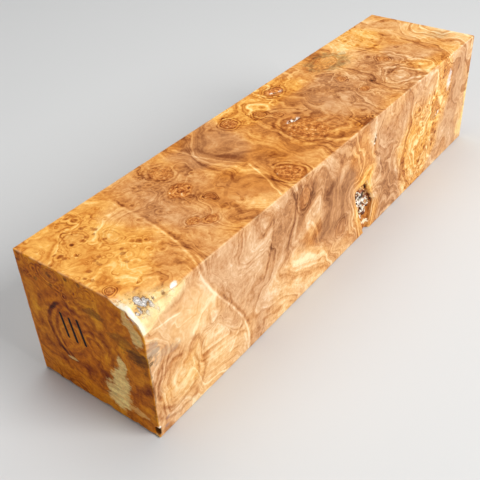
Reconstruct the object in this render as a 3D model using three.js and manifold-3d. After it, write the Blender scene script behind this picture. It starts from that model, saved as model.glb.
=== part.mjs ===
// Maple burl turning blank: one sawn block of burl wood lying on a long face.
// Millimetres, +Z up. The origin is the middle of the bottom face, and the length runs along Y.
// The block is whole apart from three places: a wane, where the tree's own surface takes away the top corner
// of the near end, a pocket where bark grew into the +X face, and a chip out of the near end's lower corner.
import * as THREE from "three";
import { mergeVertices } from "three/addons/utils/BufferGeometryUtils.js";
import Module from "manifold-3d";

// Driving dimensions of the sawn block
const WIDTH = 50.8;
const LENGTH = 216;
const HEIGHT = 50;

// Wane at the top corner between the near end (-Y) and the +X face
const WANE_REACH = 19; // along the long top edge
const WANE_ACROSS = 11; // along the top edge of the end
const WANE_DROP = 7.2; // down the upright edge
const WANE_FALL = 0.65; // below 1 the drop holds on and then ends abruptly along the long edge
const WANE_BULGE = 2; // above 1 the wane bulges outwards across its width
const WANE_STEPS = 14;
const WANE_SKIM = 0.02; // keeps the cut clear of the sawn top where the wane has run out

// Bark pocket in the +X face: its rim as (y, z), open at the bottom edge
const POCKET_RIM = [
  [5.2, 23.2],
  [13.6, 24.6],
  [18, 18],
  [22.2, 10.5],
  [19.4, -2],
  [14.4, -2],
  [11.2, 9],
  [6.2, 18],
];
const POCKET_MIDDLE = [14, 12];
const POCKET_DEPTH = 6.8; // where the bark has gone, in its upper part
const POCKET_SILL_DEPTH = 3; // at the bottom edge
const POCKET_LEAN = 0.45; // share of its width that the wall has closed in by at the floor
const POCKET_SIDES = 32;
const POCKET_ROWS = 5;

// Chip out of the upright edge, near the floor
const CHIP_RADIUS = 1.9;
const CHIP_HEIGHT = 3.6;
const CHIP_STRETCH = 1.5;
const CHIP_SET_OUT = 0.65; // its middle stands this far outside both faces

const CLEAR = 3; // how far a cutting shape stands out of the block
const WELD = 1e-4; // corners closer than this are one corner

const wasm = await Module();
wasm.setup();

// A closed three.js geometry as a solid that can be cut.
function solid(geometry) {
  const bare = geometry.clone();
  bare.deleteAttribute("normal");
  bare.deleteAttribute("uv");
  const merged = mergeVertices(bare, WELD);
  return new wasm.Manifold(
    new wasm.Mesh({
      numProp: 3,
      vertProperties: new Float32Array(merged.attributes.position.array),
      triVerts: new Uint32Array(merged.index.array),
    }),
  );
}

// A cut solid as a three.js geometry with flat faces.
function geometryOf(manifold) {
  const mesh = manifold.getMesh();
  const geometry = new THREE.BufferGeometry();
  geometry.setAttribute("position", new THREE.BufferAttribute(mesh.vertProperties, 3));
  geometry.setIndex(new THREE.BufferAttribute(mesh.triVerts, 1));
  const faceted = geometry.toNonIndexed();
  faceted.computeVertexNormals();
  return faceted;
}

// The block as it leaves the saw.
function sawnBlock() {
  return new THREE.BoxGeometry(WIDTH, LENGTH, HEIGHT).translate(0, 0, HEIGHT / 2);
}

// What the wane takes away: a slab over the corner whose underside is the tree's own surface.
function waneSlab() {
  const slab = new THREE.BoxGeometry(1, 1, 1, WANE_STEPS, WANE_STEPS, 1).translate(0.5, 0.5, 0);
  const place = slab.attributes.position;
  for (let i = 0; i < place.count; i += 1) {
    const along = place.getY(i) * (WANE_REACH + CLEAR) - CLEAR;
    const across = place.getX(i) * (WANE_ACROSS + CLEAR) - CLEAR;
    const left = Math.max(0, 1 - Math.max(0, along) / WANE_REACH);
    const share = left > 0 ? Math.max(0, 1 - Math.max(0, across) / (WANE_ACROSS * left)) : 0;
    const under = HEIGHT - WANE_DROP * left ** WANE_FALL * share ** WANE_BULGE + WANE_SKIM;
    const isTop = place.getZ(i) > 0;
    place.setXYZ(i, WIDTH / 2 - across, along - LENGTH / 2, isTop ? HEIGHT + CLEAR : under);
  }
  slab.index.array.reverse();
  return slab;
}

// What the pocket takes away: a plug that fills the rim on the +X face and closes in towards its floor.
function pocketPlug() {
  const rim = new THREE.CatmullRomCurve3(POCKET_RIM.map(([y, z]) => new THREE.Vector3(0, y, z)), true);
  const [middleY, middleZ] = POCKET_MIDDLE;
  const plug = new THREE.CylinderGeometry(1, 1, 1, POCKET_SIDES, POCKET_ROWS);
  const place = plug.attributes.position;
  for (let i = 0; i < place.count; i += 1) {
    const turn = Math.atan2(place.getX(i), place.getZ(i)) / (2 * Math.PI);
    const edge = rim.getPoint((1 - turn) % 1);
    const inwards = 0.5 - place.getY(i);
    const spread = Math.hypot(place.getX(i), place.getZ(i)) * (1 - POCKET_LEAN * inwards ** 2);
    const y = middleY + (edge.y - middleY) * spread;
    const z = middleZ + (edge.z - middleZ) * spread;
    const depth = THREE.MathUtils.mapLinear(z, 0, HEIGHT / 2, POCKET_SILL_DEPTH, POCKET_DEPTH);
    place.setXYZ(i, WIDTH / 2 + CLEAR - inwards * (CLEAR + depth), y, z);
  }
  return plug;
}

// What the chip takes away: a blunt splinter standing along the upright edge.
function chipPlug() {
  return new THREE.IcosahedronGeometry(CHIP_RADIUS, 1)
    .scale(1, 1, CHIP_STRETCH)
    .translate(WIDTH / 2 + CHIP_SET_OUT, -LENGTH / 2 - CHIP_SET_OUT, CHIP_HEIGHT);
}

const burl = [waneSlab(), pocketPlug(), chipPlug()].reduce(
  (block, cut) => block.subtract(solid(cut)),
  solid(sawnBlock()),
);

const burlWood = new THREE.MeshStandardMaterial({ color: 0xc98a4b, roughness: 0.45, metalness: 0 });
const blank = new THREE.Mesh(geometryOf(burl), burlWood);
blank.name = "burl_blank";

const part = new THREE.Group();
part.add(blank);

export default part;
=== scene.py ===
"""Maple burl turning blank: one sawn block of figured wood with a wane, a bark pocket and small pits.

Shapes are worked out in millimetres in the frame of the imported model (+Z up, length along Y)
and written in metres. A pair of limits says where something begins and where it is whole, and two
more numbers after them are its strength there. A noise is given by its size, detail and roughness.
"""
import math
from collections import namedtuple

import bpy
import numpy as np
from mathutils import Matrix, Vector, noise

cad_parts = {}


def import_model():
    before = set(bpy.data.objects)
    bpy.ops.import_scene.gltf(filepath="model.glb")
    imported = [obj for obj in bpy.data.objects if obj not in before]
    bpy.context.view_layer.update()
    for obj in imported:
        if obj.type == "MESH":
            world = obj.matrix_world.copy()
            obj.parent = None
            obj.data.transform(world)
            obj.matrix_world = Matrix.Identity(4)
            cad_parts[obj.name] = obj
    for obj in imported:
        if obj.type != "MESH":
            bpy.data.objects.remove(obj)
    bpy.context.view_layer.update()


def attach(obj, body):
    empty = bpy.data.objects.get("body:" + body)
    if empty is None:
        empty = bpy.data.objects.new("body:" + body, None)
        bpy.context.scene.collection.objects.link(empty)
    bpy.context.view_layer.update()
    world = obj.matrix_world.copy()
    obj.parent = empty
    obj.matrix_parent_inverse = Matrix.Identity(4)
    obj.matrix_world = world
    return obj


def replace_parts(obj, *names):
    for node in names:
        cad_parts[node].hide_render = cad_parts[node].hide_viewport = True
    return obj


MM = 0.001  # metres in a millimetre

# Camera, fitted to the corners of the block
CAMERA_AZIMUTH = 38.551
CAMERA_ELEVATION = 37.149
CAMERA_ROLL = -3.1
CAMERA_PLACE = (134.48, -201.82, 179.53)
CAMERA_LENS = 55.59
CAMERA_SENSOR = 36
CAMERA_NEAR = 0.01  # metres

# Stage, in metres
FLOOR_HALF = 20
FLOOR_LEVEL = -0.0002
FLOOR_COLOUR = (0.62, 0.62, 0.61, 1)
FLOOR_ROUGHNESS = 0.9
SKY_COLOUR = (0.9, 0.93, 1, 1)
SKY_STRENGTH = 0.18
Light = namedtuple("Light", "name place size power")
LIGHTS = (
    Light("key", (0.75, 0.1, 0.6), 0.5, 9.4),
    Light("overhead", (-0.2, 0.2, 0.9), 0.8, 5),
    Light("fill", (-0.3, -0.9, 0.35), 0.6, 1.3),
)

# Noise on the mesh: each one is read at its own shift, so that no two are alike
NOISE_STEPS = (1, 1.7, 2.3)  # how far along each axis one unit of shift goes
SHIFTS = {
    "wane": 3,
    "tear": 5,
    "rim": 7,
    "torn": 9,
    "floor": 11,
    "chip": 13,
    "zone": 21,
    "zone_fray": 25,
    "eye": 31,
    "stain": 41,
}
MIDDLE = 0.5  # of a noise, a share or a colour ramp
TINY = 1e-12  # keeps a division by nothing from happening

# Screen colours as linear light
SCREEN_MOST = 255
SCREEN_KNEE = 0.04045
SCREEN_SLOPE = 12.92
SCREEN_OFFSET = 0.055
SCREEN_POWER = 2.4

# The sawn block
WIDTH = 50.8
LENGTH = 216
HEIGHT = 50
TOP = HEIGHT
RIGHT = WIDTH / 2
LEFT = -WIDTH / 2
NEAR = -LENGTH / 2
FAR = LENGTH / 2
GRID_STEP = 0.94
GRID_FINE_STEP = 0.5
GRID_PROBES = 4001  # places along a side where the step is read
FINE_ACROSS = ((WIDTH - 12, WIDTH),)  # spans of the grid with fine steps, from the -X side
FINE_ALONG = ((0, 19), (110, 133), (181, 188))  # from the near end
FINE_UP = ((0, 26), (41, HEIGHT))  # from the bottom
EDGE_LINES = (0, 0.14, 0.36, 0.75, 1.3)  # grid lines beside an edge
EDGE_RADIUS = 0.34
EDGE_LEAST = 0.1
EDGE_RAGGED = 0.12
EDGE_RAGGED_SIZE = 2.2
EDGE_WORN = (0.55, 0.1)  # distances from an edge between which it turns pale, partly with wear and partly with a painted highlight
EDGE_CLEAR = (0.8, 1.6)  # distances from the near upright edge between which that pale wear and painted highlight begins
TEAR_RADIUS = 0.9  # fibres torn out along the bottom edge of the near end
TEAR_SIZE = 3.4
TEAR_GAPS = (0.1, 0.6)  # noise between which the tear begins
END_SKIN = (0.4, 0.05)  # depths below an end between which its end grain begins
FACE_SKIN = 0.5  # what lies this close to the +X face can have the pocket's colours
FACE_TOUCH = 0.01  # what lies this close to a face can be in a pit

# Wane: how far the tree's own surface lies below the sawn top, by distance from the near end and +X face
WANE_ALONG = (0, 3.6, 6.7, 11.2, 15.1, 18.4, 26)
WANE_DROP = (7.5, 7.1, 4.8, 3.8, 3.2, 0.4, 0)
WANE_WIDTH = (12, 11.9, 10.4, 6.2, 3.2, 1, 0.5)
WANE_ACROSS = (0, 0.06, 0.125, 0.375, 0.44, 0.7, 0.84, 1)
WANE_SHARE = (1, 0.8, 0.56, 0.38, 0.2, 0.16, 0.09, 0)
WANE_ROLL = (0.42, 0.6)  # from this share of the drop it is the pale roll beside the +X face
WANE_TORN = (2.1, 0.5)  # distances from the near end between which its torn fibres turn white
WANE_START = (0.05, 1.3)  # drops between which the wane begins
WANE_SKIN = (0.6, 0.1)  # depths below the sawn top between which its colour begins
WANE_FADE = 4  # how far down the +X face the pale roll reaches
WANE_FOOT = 38  # below this height the upright faces are not disturbed
WANE_LUMPS = ((3.2, 0.5), (1.1, 0.2))  # size and height of its lumps
ROLL_RADIUS = 0.7
ROLL_START = (0.4, 3)  # distances from the near end between which the roll begins
TORN_SIZE = 1.6

# Bark pocket in the +X face: rim as (y, z), open at the bottom edge
POCKET_RIM = (
    (5.2, 23.9),
    (14.8, 25.2),
    (17.4, 18.5),
    (21.2, 12.7),
    (20.7, 7.1),
    (19, -2),
    (15, -2),
    (12.1, 6.6),
    (10.1, 11.2),
    (6.2, 19.9),
)
POCKET_HEIGHTS = (0, 4, 9, 12.5, 18, 22, 26)
POCKET_DEPTHS = (1.6, 1.7, 2, 2.3, 2.2, 2, 1.6)
HOLLOW_MIDDLE = (14.9, 17)
HOLLOW_RUN = (0.66, 0.75)  # its long way
HOLLOW_HALF = (2.8, 1.7)
HOLLOW_DEPTH = 2
HOLLOW_BORDER = (1.2, 0.3)  # counted in its half sizes, as the crescent of pale rot round it is
CRESCENT_INNER = (0.8, 1.1)
CRESCENT_OUTER = (2, 1.5)
# Dark grey in the hollow: partly dark bark, partly painted shade cast by its wall
HOLLOW_BARK_AND_SHADE = ((0, (160, 128, 98)), (0.5, (92, 76, 64)), (1, (48, 40, 35)))
POCKET_WALL = (-0.1, 1.1)  # distances in from the rim between which the wall falls
POCKET_MARGIN = 1
POCKET_ROOT = 8  # the bottom face is not disturbed further in than this from the middle
POCKET_SILL = (8, 13)  # heights between which the smooth lower floor gives way to broken bark
SILL_ROUGHNESS = 0.25  # how lumpy the sill is, beside the broken bark
POCKET_LUMPS = ((3, 1.3), (1.2, 0.8))
POCKET_RAGGED = ((2.5, 0.4), (0.9, 0.25))
FLAKE_RUN = (0, 0.53, -0.85)  # the bark's flakes slant down the pocket
FLAKE_SIDE = (0, 0.85, 0.53)
FLAKE_STRETCH = 0.3
SILL_BAND_HEIGHT = 8  # a pale band that slants across the sill
SILL_BAND_SLOPE = 0.25
HALO_REACH = 8.5  # how far the growth layers bend round the pocket

# Chip out of the near upright edge
CHIP_HEIGHT = 2.5
CHIP_REACH = 1.7
CHIP_WIDTH = 2.4
CHIP_DEPTH = 1.3
CHIP_ASKEW = 2.6  # how many times further it reaches over the end than over the +X face
CHIP_RAGGED = (1.2, 0.4)  # size and height of its ragged border
CHIP_BORDER = (1.1, 0.6)  # above and below its middle, counted in its reach
CHIP_HEART = 0.3  # this close to the edge it is at its deepest
# Dark colour in the chip: painted shadow in the recess
CHIP_SHADOW = (74, 38, 14)
CHIP_SHADE = (0.1, 0.5, 0, 0.9)

# Crumbs of bark and rot left in the pocket
CRUMB_DENSITY = 0.55  # to the square millimetre, where they lie thickest
CRUMB_LEAST = (0.45, 0.3, 0.25)
CRUMB_MOST = (1.6, 0.9, 0.5)
CRUMB_SEED = 4
CRUMB_LOW = (7, 11)  # heights in the pocket between which they begin
CRUMB_RISE = (2, -1)  # places along the hollow between which they begin
CRUMB_DEPTH = (0.8, 1.6)  # depths in the pocket between which they begin
CRUMB_CLEAR = (0.05, 0.4)  # shares of the hollow between which they stop
CRUMB_GRIT = (0.5, 2, 0.6)
CRUMB_MOTTLE = 0.6
CRUMB_ROUGHNESS = (0.3, 0.7)  # how far it varies, and its middle
CRUMB_BUMP = (0.6, 0.2)  # strength and height
CRUMB_COLOURS = ((0, (46, 24, 14)), (0.25, (122, 62, 34)), (0.42, (206, 176, 132)), (0.6, (252, 246, 230)))
CRUMB_SOCKETS = {
    "Mesh": "Geometry",
    "Density": "Float",
    "Least size": "Vector",
    "Most size": "Vector",
    "Seed": "Int",
    "Material": "Material",
}

# Small open pits: middle, half length and half width along and across a direction, depth
Pit = namedtuple("Pit", "face middle turn half_long half_wide depth")
PITS = (
    Pit("top", (0.3, 1.2), 82, 3.9, 1.1, 1.4),
    Pit("top", (-18.6, 15.2), 60, 1.7, 0.9, 1.3),
    Pit("top", (-17, 18.6), 100, 1.6, 0.8, 1.1),
    Pit("right", (19.6, 40), 70, 2.6, 1, 0.8),
    Pit("right", (76.7, 25.7), 20, 2.6, 1, 1.2),
)
# The two axes of a face, the axis it faces along, and its level on that axis
PIT_SIDES = {"top": (0, 1, 2, TOP), "right": (1, 2, 0, RIGHT)}
PIT_BORDER = (1.25, 0.5)
PIT_SHADE = (0.2, 0.8)

# Figure: eyes are bundles of buds that the growth layers swell around
Eye = namedtuple("Eye", "place radii rise core rim tone warmth")
EYES = (
    # on the top
    Eye((-16, -53.5, TOP), (4.6, 4.8, 9), 1.6, 0.6, 0.6, -0.04, 0.1),
    Eye((-3.6, -57.8, TOP), (3.9, 5.2, 9), 1.2, 1, 0.4, 0.04, 0.4),
    Eye((10.2, -68, TOP), (2.5, 3, 9), 0.7, 0.8, 0.4, -0.1, 0.1),
    Eye((14.2, -64.4, TOP), (2.4, 2.8, 9), 0.7, 0.8, 0.4, -0.1, 0.1),
    Eye((6.2, -55.3, TOP), (1.8, 2, 6), 0.6, 0.6, 0.7, -0.04, 0.1),
    Eye((19.6, -29.4, 47), (5.4, 5.4, 12), 1.5, 0.9, 1, -0.02, 0.4),
    Eye((-17.4, -14.6, TOP), (3.4, 3.6, 9), 1.4, 0.95, 1, -0.08, 0.4),
    Eye((-11.8, -2.4, TOP), (2.6, 2.8, 9), 0.9, 0.5, 1, 0, 0.2),
    Eye((-6, 1.4, TOP), (2.4, 2.5, 8), 0.8, 0.5, 1, -0.04, 0.1),
    Eye((8.6, -1.4, TOP), (10, 8.6, 12), 2, 0.8, 0.7, -0.06, 0.1),
    Eye((13.4, 8, TOP), (10, 5, 10), 0.6, 0.4, 0.2, -0.02, 0),
    Eye((-2.2, 39.9, TOP), (2.4, 2.6, 7), 0.8, 0.6, 0.9, -0.02, 0.1),
    Eye((10.2, 37.1, TOP), (2.2, 2.4, 7), 0.8, 0.8, 0.9, -0.1, 0),
    Eye((2.9, 65.4, TOP), (2.8, 2.6, 7), 0.9, 0.7, 0.9, -0.05, 0.1),
    Eye((-18, 16.4, TOP), (3.6, 4.8, 7), 1, 1, 0.9, -0.1, 0.1),
    Eye((-15.6, 49, TOP), (5, 8, 9), 1.6, 0.7, 0.6, 0.04, 0.1),
    Eye((16.7, 56.2, TOP), (6, 8.4, 9), 2, 0.1, 0.5, 0.03, 0),
    Eye((-13.5, -95, TOP), (3.4, 3, 7), 0.9, 0.25, 0.5, 0.03, 0.2),
    Eye((-5.3, -87.7, TOP), (3.2, 2.8, 7), 1, 0.15, 0.4, 0.03, 0.2),
    Eye((12.4, -105.4, TOP), (1.7, 1.7, 5), 0.5, 0.7, 1, -0.1, 0.2),
    # on the +X face
    Eye((RIGHT, -96.7, 15.7), (9, 9.6, 10), 2.2, 0.12, 0.6, 0.02, 0.2),
    Eye((RIGHT, -4, 13.6), (8, 4, 4.4), 1.2, 0.2, 0.5, -0.02, 0),
    Eye((RIGHT, -29.6, 42), (8, 3.6, 5), 1.2, 0.3, 0.7, 0, 0.1),
    Eye((RIGHT, 56, 20), (9, 13, 12), 2.2, 0.1, 0.4, 0.04, 0.2),
    Eye((RIGHT, 73.4, 29), (6, 4.6, 5), 1.2, 0.6, 0.5, -0.04, 0.4),
    # on the near end
    Eye((-5.4, NEAR, 25), (11.4, 10, 12.8), 2, 0.15, 0.5, -0.02, 0.1),
    Eye((-10.6, NEAR, 46.4), (4.4, 6, 2.6), 0.8, 0.5, 0.6, -0.05, 0.1),
    # on the -X face
    Eye((LEFT, -84, 20), (8, 8, 9), 1.8, 0.2, 0.6, 0.02, 0.1),
    Eye((LEFT, -33, 25), (9, 5.6, 6.4), 1.5, 0.8, 0.9, -0.03, 0.3),
    Eye((LEFT, 8, 14), (8, 4, 4.4), 1.2, 0.7, 1, -0.04, 0.2),
    Eye((LEFT, 25, 34), (8, 3, 3.4), 1, 0.8, 0.9, -0.06, 0.1),
    Eye((LEFT, 70, 22), (9, 13, 10), 2, 0.1, 0.4, 0.04, 0),
    # on the bottom and the far end
    Eye((-6, -40, 0), (7, 8, 8), 1.6, 0.7, 0.8, -0.03, 0.2),
    Eye((10, 62, 0), (4, 4.6, 6), 1.3, 0.8, 0.9, -0.03, 0.2),
    Eye((8, FAR, 19), (9, 8, 8), 1.8, 0.3, 0.7, -0.02, 0.1),
    Eye((-14, FAR, 37), (4, 6, 4), 1.2, 0.7, 0.9, -0.04, 0.1),
)

# Veins: thin lines across a face, bowed to one side of the straight run
FACES = {"top": (0, 0, 1), "right": (1, 0, 0), "end": (0, -1, 0)}
Vein = namedtuple("Vein", "face start end bow half_width dark pale")
VEINS = (
    Vein("top", (4.6, -32.6, TOP), (RIGHT, -42.4, TOP), 0.4, 0.5, 0, 1),
    Vein("top", (5.4, -31.6, TOP), (RIGHT, -41, TOP), 0.4, 0.6, 0.5, 0),
    Vein("top", (11, -53.2, TOP), (5, -31, TOP), 2.4, 0.9, 0.5, 0),
    Vein("top", (-22, -40, TOP), (4, -33, TOP), -1, 0.6, 0, 0.7),
    Vein("top", (-20, -37, TOP), (4, -31.4, TOP), 0.8, 2.4, 0.5, 0),
    Vein("top", (-10, -9, TOP), (0.5, 10, TOP), 6, 0.6, 0.8, 0),
    Vein("top", (-10, -11, TOP), (2, 12, TOP), 7.4, 0.5, 0.6, 0.3),
    Vein("top", (-12, 62.6, TOP), (-10.6, 90.4, TOP), -5, 1.2, 0.6, 0),
    Vein("top", (-1, 89, TOP), (14.4, 85.8, TOP), 0.6, 1, 0.8, 0),
    Vein("right", (RIGHT, -65.6, 17.4), (RIGHT, -62.4, 0), -1, 0.7, 0.3, 0.7),
    Vein("right", (RIGHT, -66, 16), (RIGHT, -74, 6), 0.6, 0.6, 0, 0.6),
    Vein("right", (RIGHT, -105, 41.6), (RIGHT, -93, 39.4), 0.2, 0.5, 0, 0.9),
    Vein("right", (RIGHT, -27, 31), (RIGHT, -19.6, 17), 1.4, 1, 0, 0.8),
    Vein("right", (RIGHT, -47, 46), (RIGHT, -54.6, 22), 1.6, 0.9, 0.7, 0),
    Vein("right", (RIGHT, -15.4, 45), (RIGHT, -18, 25), -1.2, 0.5, 0, 0.5),
    Vein("end", (-8.4, NEAR, 38), (-9, NEAR, 13), -7, 1.3, 1.5, 0),
    Vein("end", (-9, NEAR, 35), (-7, NEAR, 14), -4.6, 1, 1.1, 0),
)
VEIN_ENDS = (0.42, 0.53)  # shares of its length from the middle between which a vein runs out
VEIN_SOFT = 0.3  # a vein begins to fade this far from its middle line
BOW_PEAK = 4  # makes share * (1 - share) reach 1 half way along

# Main seam: a sheet through the block, y as powers of x and of the depth below the top
SEAM_START = -75.95
SEAM_ACROSS = (-0.1334, -0.0031, -0.00016)
SEAM_DOWN = (0.1542, 0.02595, -0.000415)
SEAM_DARK = (0.7, 1.2)  # its dark side: how far off the sheet, and how far it reaches
SEAM_PALE = (-0.5, 0.8)
SEAM_STRENGTH = (-20, 10, 0.15, 0.8)  # it grows from faint to strong between these places along X
SEAM_PAST = (-3, 9)  # the wood past the seam turns smoky between these distances from it
SEAM_SHADE = (4, 22)  # and clears again between these

# Zones on each face: tone is light or dark, warmth is honey or pinkish tan, pins is how thick the pin knots
# stand, lively is how strong the figure is, and level is how far the growth layers lie flat there.
# The first of a side face covers all of it.
Zone = namedtuple("Zone", "place radii tone warmth pins lively level", defaults=(0, 0))
ZONES = {
    "top": (
        Zone((-4, -97, TOP), (24, 18, 26), 0.07, 0.3, 2.2, -0.15),
        Zone((-2, -58, TOP), (28, 17, 16), -0.04, -0.28, 0.6),
        Zone((14, -44, TOP), (11, 12, 10), -0.08, 0.05, 0, -0.5),
        Zone((-12, -28, TOP), (14, 12, 12), -0.12, -0.45, 0, -0.4),
        Zone((2, -20, TOP), (12, 28, 10), -0.05, 0, 0),
        Zone((-4, 10, TOP), (15, 11, 9), -0.07, -0.1, 0, -0.35),
        Zone((5, 17, TOP), (9, 7, 8), 0.05, 0, 0, -0.1, 0.4),
        Zone((12, -92, TOP), (8, 8, 9), 0.08, 0, 0),
        Zone((2, -80, TOP), (8, 5, 7), 0.06, 0, 0),
        Zone((0, -95, TOP), (9, 10, 8), -0.06, 0, 0),
        Zone((0, -31, TOP), (7, 6, 7), 0.06, 0, 0),
        Zone((-19, 2, TOP), (9, 22, 12), 0.07, 0.3, 0.8, 0.2),
        Zone((12, -22, TOP), (13, 9, 10), -0.05, 0, 0.2, -0.4),
        Zone((6, 40, TOP), (21, 32, 16), -0.07, -0.45, 0.35, 0.2),
        Zone((19, 18, TOP), (8, 9, 8), -0.17, 0.2, 1),
        Zone((19, -10, TOP), (7, 8, 8), -0.07, 0, 0),
        Zone((0, 25, TOP), (13, 12, 9), 0.02, -0.15, 0, -0.35),
        Zone((-16, 51, TOP), (9, 13, 8), 0.14, 0, 0),
        Zone((19, 46, TOP), (7, 9, 8), 0.07, 0, 0),
        Zone((-18, 78, TOP), (11, 15, 14), 0.2, 0.05, 2),
        Zone((6, 79, TOP), (12, 10, 10), -0.02, -0.5, 0),
        Zone((0, 101, TOP), (30, 9, 16), 0.16, -0.25, 0.2, -0.1),
        Zone((19, 68, TOP), (9, 28, 10), 0.03, 0, 0.4, 0.3),
    ),
    "right": (
        Zone((25, 0, 25), (25, 150, 60), 0.07, -0.62, 0),
        Zone((25, -90, 36), (9, 17, 11), 0.15, 0.1, 0, -0.4),
        Zone((25, -84, 8), (9, 22, 14), 0.14, 0.2, 0),
        Zone((25, -98, 5), (9, 14, 8), 0.05, 0, 0),
        Zone((25, -77, 9), (9, 15, 13), 0, 0, 0, 0, 1),
        Zone((25, -64, 36), (9, 13, 13), 0.04, -0.1, 0.1),
        Zone((25, -40, 38), (9, 12, 12), -0.2, -0.15, 0.1),
        Zone((25, -15, 44), (9, 16, 7), -0.18, -0.05, 0, -0.15),
        Zone((25, -25, 24), (8, 5, 7), -0.07, 0.35, 0),
        Zone((25, -17, 28), (9, 19, 12), -0.1, -0.1, 0, -0.12),
        Zone((25, -36, 8), (9, 28, 11), 0.12, 0.2, 0.2, 0, 0.6),
        Zone((25, -7, 26), (9, 13, 17), -0.13, -0.2, 0, -0.35),
        Zone((25, 14, 12), (8, 9, 16), 0, 0.5, 0),
        Zone((25, 14, 34), (8, 11, 12), -0.05, 0.45, 0),
        Zone((25, 34, 30), (8, 12, 18), -0.1, -0.1, 0.2),
        Zone((25, 30, 5), (9, 25, 9), -0.13, -0.25, 0),
        Zone((25, 50, 5), (8, 9, 7), 0.09, 0, 0),
        Zone((25, 59, 20), (9, 18, 22), 0.07, 0.5, 1.2, 0.6),
        Zone((25, 78, 36), (9, 14, 17), 0.05, 0.45, 1, 0.6),
        Zone((25, 96, 26), (8, 11, 27), -0.04, -0.25, 0, -0.3),
        Zone((25, 104, 9), (8, 6, 13), 0.1, 0.35, 0),
    ),
    "near": (
        Zone((-9, NEAR, 44), (14, 6, 8), 0, 0.1, 2.2),
        Zone((-8, NEAR, 8), (26, 6, 9), -0.08, 0, 0),
        Zone((20, NEAR, 24), (8, 6, 14), -0.08, 0, 0),
    ),
    "left": (
        Zone((-25, 0, 25), (25, 150, 60), 0.05, -0.55, 0),
        Zone((-25, -62, 25), (9, 24, 28), 0.02, -0.1, 0.1),
        Zone((-25, 0, 25), (9, 30, 28), -0.02, 0.4, 0.6),
        Zone((-25, 58, 25), (9, 26, 28), 0.02, 0, 0.2),
        Zone((-25, 96, 25), (9, 18, 30), 0.03, 0.3, 0.8),
    ),
    "bottom": (
        Zone((0, 0, 0), (50, 150, 25), 0.02, -0.4, 0.2),
        Zone((0, -60, 0), (26, 40, 9), 0.04, -0.2, 0.2),
        Zone((0, 50, 0), (26, 40, 9), 0.05, 0.1, 0.4),
    ),
}
FACE_BLEND = 0.6  # a face's own colour starts this close to it
ZONE_SWAY = (24, 9)  # sizes and reach of the bends in the borders of the zones
ZONE_FRAY = (7, 3.5)
ZONE_BORDER = (1.25, 0.75)

# Stains: patches of another colour with a fibrous border, some of them painted highlights and painted
# shade. A later colour lies over an earlier one.
Patch = namedtuple("Patch", "place radii share", defaults=(1,))
OLIVE = (122, 96, 58)
AMBER = (236, 176, 92)
ASH = (168, 144, 124)
# Smoky patches on the near end, and a painted shade strip along its +X upright edge
SMOKE_AND_EDGE_SHADE = (74, 44, 14)
# Pale patches, and a painted golden glint on the near end
CREAM_AND_GLINT = (255, 224, 146)
BRUISE = (156, 128, 124)
BARK_BROWN = (124, 82, 44)
# White rot and pale bits, and a painted highlight on the +X face
WHITE_AND_GLINT = (255, 251, 242)
RUST = (158, 78, 22)
DARK_RUST = (84, 38, 8)
TOP_DOTS = (
    (-15.3, -90.4), (-12.5, -88.3), (-11.2, -87.4), (-10.9, -91.7), (-9.8, -89.5),
    (-5.4, -90.1), (-12.1, -103.9), (-10.2, -102.6), (-8.3, -103.3), (-10.3, -107),
    (-1.3, -96.5), (-0.8, -98.3), (1.7, -98.5), (1.9, -90.7), (3.7, -91.8),
    (6.7, -93.6), (1.4, -102.4), (2.8, -105.4), (5.7, -104.7), (11.5, -102.1),
)
END_DOTS = ((-11.8, 47.4), (-10.4, 46.6), (-3.3, 47.9), (-11.3, 43.1), (-17.3, 42), (1.8, 48.8))
TOP_DOT = (0.85, 0.85, 3)
END_DOT = (0.85, 3, 0.85)
DOT_SHARE = 0.75
SPOT_SWAY = (4.5, 1.1)  # size and reach of the bends in the borders of eyes and stains
STAIN_FAR = 3
STAIN_BORDER = 1.2
STAIN_FRAY = 1
STAIN_EDGE = (0.7, 1.15, 1, 0)
STAIN_STREAKS = (0.4, 0.62, 1, 0.6)
STAIN_GRIT = (0.36, 0.6, 0.82, 1.05)
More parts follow.
